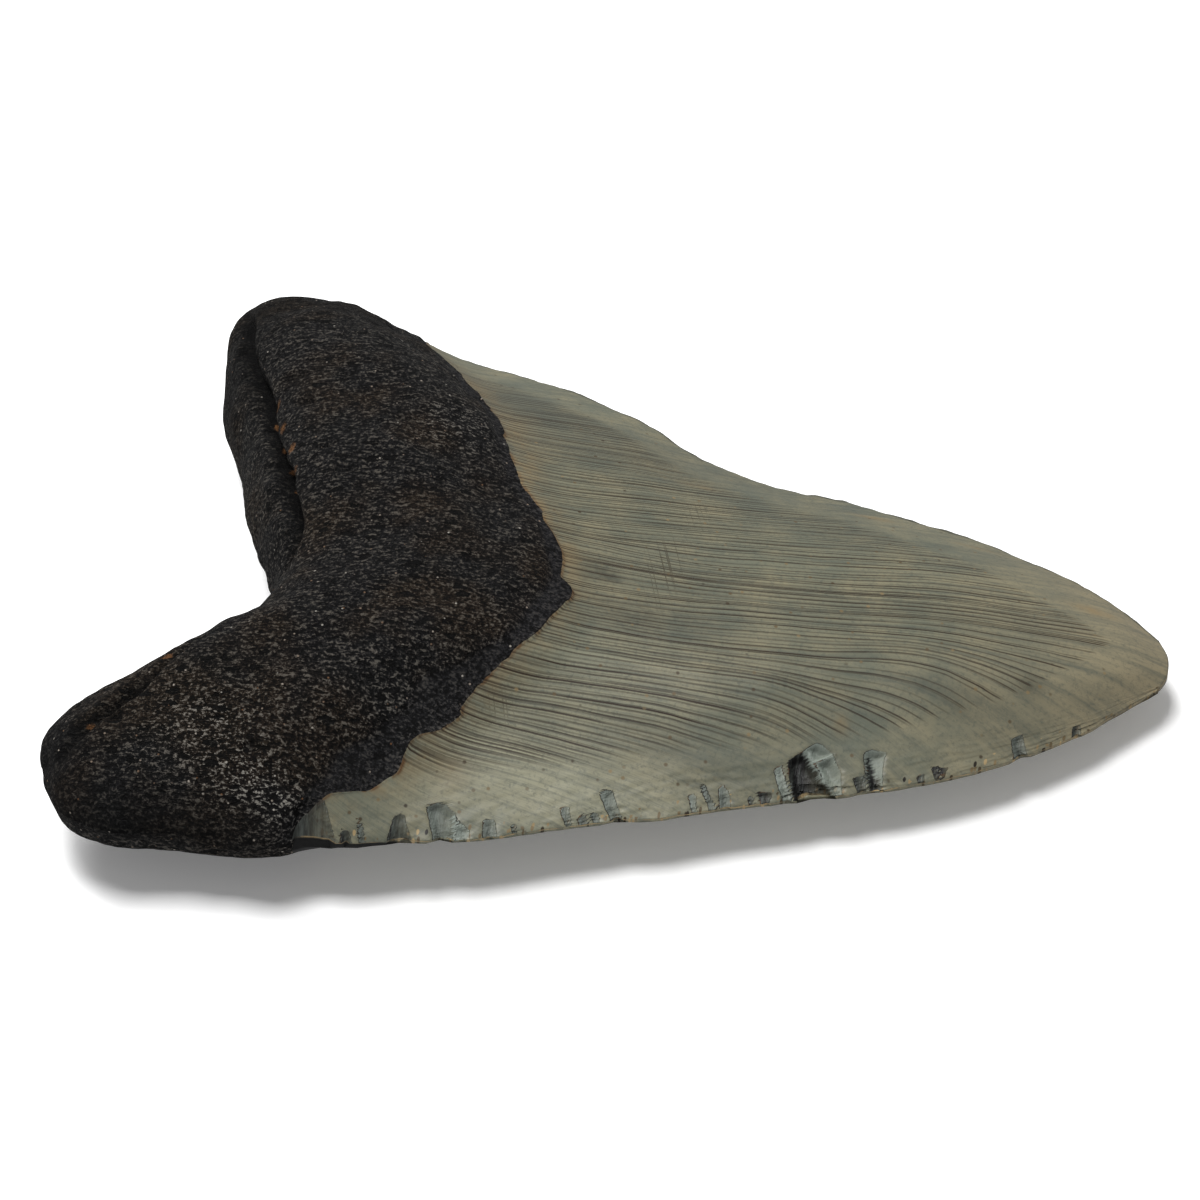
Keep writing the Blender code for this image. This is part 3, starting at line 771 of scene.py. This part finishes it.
broken = add(tree, "MapRange", {"Value": ragged, "To Min": STAIN_STRENGTH / 2, "To Max": STAIN_STRENGTH})
for name, finish in (("dark_stain_and_shade", ENAMEL_DARK), ("rust_stain", ENAMEL_STAIN)):
    stain = add(tree, "Math", {0: known[name], 1: broken}, operation="MULTIPLY", use_clamp=True)
    colour = add(tree, "MixRGB", {"Fac": stain, "Color1": colour, "Color2": finish})

# Growth cracks, with a finer set between them, and then scratches across them
waver_place = add(tree, "Mapping", {"Vector": flow, "Scale": WAVER_SCALE})
waver = add(tree, "TexNoise", {"Vector": waver_place, "Scale": 1.0, "Detail": 3.0})
waver = add(tree, "MapRange", {"Value": waver, "To Min": -0.3, "To Max": 0.3})
line_place = add(tree, "Math", {0: known["line_number"], 1: waver}, operation="ADD")
fade_place = add(tree, "Mapping", {"Vector": flow, "Scale": FADE_SCALE})
fading = add(tree, "TexNoise", {"Vector": fade_place, "Scale": 1.0, "Detail": 2.0})
fading = add(tree, "MapRange", {"Value": fading, "From Min": 0.35, "From Max": 0.55, "To Min": 0.55})
crack = 0.0
for share, weakest, strongest in ((1.0, 0.65, 1.0), (2.0, 0.25, 0.8)):
    lines = add(tree, "TexVoronoi", {"W": line_place, "Scale": share, "Randomness": 0.6},
                voronoi_dimensions="1D")
    to_line = add(tree, "Math", {0: lines.outputs["Distance"], 1: known["line_gap_mm"]},
                  operation="MULTIPLY")
    line = add(tree, "MapRange", {"Value": to_line, "From Min": CRACK_HALF_MM * share,
                                  "From Max": CRACK_HALF_MM * share / 2})
    line_random = add(tree, "SeparateColor", {"Color": lines.outputs["Color"]})
    line_strength = add(tree, "MapRange", {"Value": line_random.outputs["Red"], "To Min": weakest,
                                           "To Max": strongest})
    line_strength = add(tree, "Math", {0: line_strength, 1: fading}, operation="MULTIPLY")
    if share == 1:
        line_strength = add(tree, "Math", {0: line_strength, 1: known["long_crack"]}, operation="MAXIMUM")
    line = add(tree, "Math", {0: line, 1: line_strength}, operation="MULTIPLY")
    crack = add(tree, "Math", {0: line, 1: crack}, operation="MAXIMUM")
crack = add(tree, "Math", {0: crack, 1: known["cracked"]}, operation="MULTIPLY")
scratch_place = add(tree, "Mapping", {"Vector": place, "Rotation": (0, 0, SCRATCH_TURN)})
scratch_place = add(tree, "SeparateXYZ", {"Vector": scratch_place})
scratches = add(tree, "TexVoronoi", {"W": scratch_place, "Scale": per_metre(SCRATCH_MM)},
                voronoi_dimensions="1D")
scratch = add(tree, "MapRange", {"Value": scratches.outputs["Distance"], "From Min": 0.12, "From Max": 0.04})
scratch = add(tree, "Math", {0: scratch, 1: known["scratched"]}, operation="MULTIPLY")
scratch = add(tree, "Math", {0: scratch, 1: SCRATCH_STRENGTH}, operation="MULTIPLY")
crack = add(tree, "Math", {0: crack, 1: scratch}, operation="MAXIMUM")
colour = add(tree, "MixRGB", {"Fac": crack, "Color1": colour, "Color2": ENAMEL_CRACK})

# Round spots all over, then small flecks along the near edge
spots = add(tree, "TexVoronoi", {"Vector": place, "Scale": per_metre(SPOT_MM)})
spot = add(tree, "MapRange", {"Value": spots.outputs["Distance"], "From Min": 0.2, "From Max": 0.1})
chosen = add(tree, "SeparateColor", {"Color": spots.outputs["Color"]})
picked = add(tree, "MapRange", {"Value": chosen.outputs["Red"], "From Min": 0.65, "From Max": 0.8,
                                "To Max": 0.85})
spot = add(tree, "Math", {0: spot, 1: picked}, operation="MULTIPLY")
spot_colour = add(tree, "MixRGB", {"Fac": chosen.outputs["Green"], "Color1": ENAMEL_CRACK,
                                   "Color2": ENAMEL_STAIN})
colour = add(tree, "MixRGB", {"Fac": spot, "Color1": colour, "Color2": spot_colour})

by_edge = add(tree, "CombineXYZ", {"X": known["length_mm"], "Y": known["near_edge_mm"]})
fleck_place = add(tree, "Mapping", {"Vector": by_edge, "Scale": [1 / size for size in FLECK_MM] + [1]})
flecks = add(tree, "TexVoronoi", {"Vector": fleck_place, "Scale": 1.0})
fleck_random = add(tree, "SeparateColor", {"Color": flecks.outputs["Color"]})
fleck_reach = add(tree, "MapRange", {"Value": known["near_edge_mm"], "From Min": 1.6, "From Max": 0.1,
                                     "To Max": 0.8})
fleck = add(tree, "Math", {0: fleck_random.outputs["Red"], 1: fleck_reach}, operation="LESS_THAN")
fleck_size = add(tree, "MapRange", {"Value": flecks.outputs["Distance"], "From Min": 0.4, "From Max": 0.3})
fleck = add(tree, "Math", {0: fleck, 1: fleck_size}, operation="MULTIPLY")
fleck_colour = add(tree, "MixRGB", {"Fac": fleck_random.outputs["Green"], "Color1": RIM_SHADOW_AND_FLECK_DARK,
                                    "Color2": EDGE_TAN})
colour = add(tree, "MixRGB", {"Fac": fleck, "Color1": colour, "Color2": fleck_colour})

# Chips: a ridged face, from pale to black and darker on its left as painted shade, and a thin rim of painted
# shadow, rusty in places, that fades to its right
facet_place = add(tree, "Mapping", {"Vector": by_edge, "Rotation": (0, 0, FACET_TURN),
                                    "Scale": FACET_SCALE})
facets = add(tree, "TexNoise", {"Vector": facet_place, "Scale": 1.0, "Detail": 4.0, "Roughness": 0.7})
facet = add(tree, "Math", {0: facets, 1: known["chip_darkness"]}, operation="SUBTRACT")
facet = add(tree, "MapRange", {"Value": facet, "From Min": -0.5, "From Max": 0.3})
chip_colour = add(tree, "MixRGB", {"Fac": facet, "Color1": CHIP_DARK_AND_SHADE, "Color2": CHIP_PALE})
unevenness = add(tree, "MapRange", {"Value": etching, "To Min": -0.2, "To Max": 0.2})
past_chip = add(tree, "Math", {0: known["past_chip_mm"], 1: unevenness}, operation="ADD")
chip = add(tree, "MapRange", {"Value": past_chip, "From Min": 0.04, "From Max": -0.04})
shaded = add(tree, "MapRange", {"Value": known["chip_side"], "From Min": 0.3, "To Min": 1.0, "To Max": 0.45})
chip = add(tree, "Math", {0: chip, 1: shaded}, operation="MULTIPLY")
colour = add(tree, "MixRGB", {"Fac": chip, "Color1": colour, "Color2": chip_colour})
rim = add(tree, "Math", {0: past_chip, 1: -0.02, 2: 0.06}, operation="COMPARE")
rim_shade = add(tree, "MapRange", {"Value": known["chip_side"], "From Min": 0.2, "From Max": 0.7,
                                   "To Min": 0.85, "To Max": 0.1})
rim_random = add(tree, "MapRange", {"Value": ragged, "From Min": 0.6, "From Max": 1.0})
rim_shadow_colour = add(tree, "MixRGB", {"Fac": rim_random, "Color1": RIM_SHADOW_AND_FLECK_DARK, "Color2": ENAMEL_RUST})
rim = add(tree, "Math", {0: rim, 1: rim_shade}, operation="MULTIPLY")
colour = add(tree, "MixRGB", {"Fac": rim, "Color1": colour, "Color2": rim_shadow_colour})

# The edges: a tan line along the sharp one, painted shade in black on the underside below it beside the
# root, and a dark far line
sharp_edge = add(tree, "Math", {0: known["under_edge"], 1: 0.2, 2: 0.18}, operation="COMPARE")
sharp_edge = add(tree, "Math", {0: sharp_edge, 1: ragged}, operation="MULTIPLY")
colour = add(tree, "MixRGB", {"Fac": sharp_edge, "Color1": colour, "Color2": EDGE_TAN})
shade_beside_root = add(tree, "MapRange", {"Value": known["length_mm"], "From Min": BLACK_WALL_MM[0],
                                     "From Max": BLACK_WALL_MM[1]})
shade_beside_root = add(tree, "Math", {0: shade_beside_root, 1: known["under_edge"]}, operation="MULTIPLY")
along_edge = add(tree, "MapRange", {"Value": known["near_edge_mm"], "From Min": 3.0, "From Max": 1.5})
shade_beside_root = add(tree, "Math", {0: shade_beside_root, 1: along_edge}, operation="MULTIPLY")
shade_beside_root = add(tree, "MapRange", {"Value": shade_beside_root, "From Max": 0.2})
colour = add(tree, "MixRGB", {"Fac": shade_beside_root, "Color1": colour, "Color2": CHIP_DARK_AND_SHADE})
far_line = add(tree, "MapRange", {"Value": known["far_edge_mm"], "From Min": 0.7, "From Max": 0.2,
                                  "To Max": 0.8})
colour = add(tree, "MixRGB", {"Fac": far_line, "Color1": colour, "Color2": ENAMEL_DARK})
tree.links.new(colour.outputs[0], shader.inputs["Base Color"])

dip = add(tree, "Math", {0: crack, 1: -1.0}, operation="MULTIPLY")
polish = add(tree, "TexNoise", {"Vector": place, "Scale": per_metre(POLISH_MM), "Detail": 4.0})
height = add(tree, "Math", {0: polish, 1: 0.4, 2: dip}, operation="MULTIPLY_ADD")
ridges = add(tree, "Math", {0: facets, 1: chip}, operation="MULTIPLY")
height = add(tree, "Math", {0: ridges, 1: CHIP_RIDGES, 2: height}, operation="MULTIPLY_ADD")
relief = add(tree, "Bump", {"Height": height, "Strength": 1.0, "Distance": ENAMEL_RELIEF})
tree.links.new(relief.outputs[0], shader.inputs["Normal"])
dullness = add(tree, "MapRange", {"Value": clouds, "From Min": 0.3, "From Max": 0.7, "To Min": 0.38,
                                  "To Max": 0.5})
tree.links.new(dullness.outputs[0], shader.inputs["Roughness"])
shader.inputs["IOR"].default_value = 1.6
shader.inputs["Specular IOR Level"].default_value = 0.25

mesh.materials.append(black_root)
mesh.materials.append(grey_enamel)
tooth = bpy.data.objects.new("fossil_tooth", mesh)
bpy.context.scene.collection.objects.link(tooth)
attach(tooth, "root")
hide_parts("tooth")
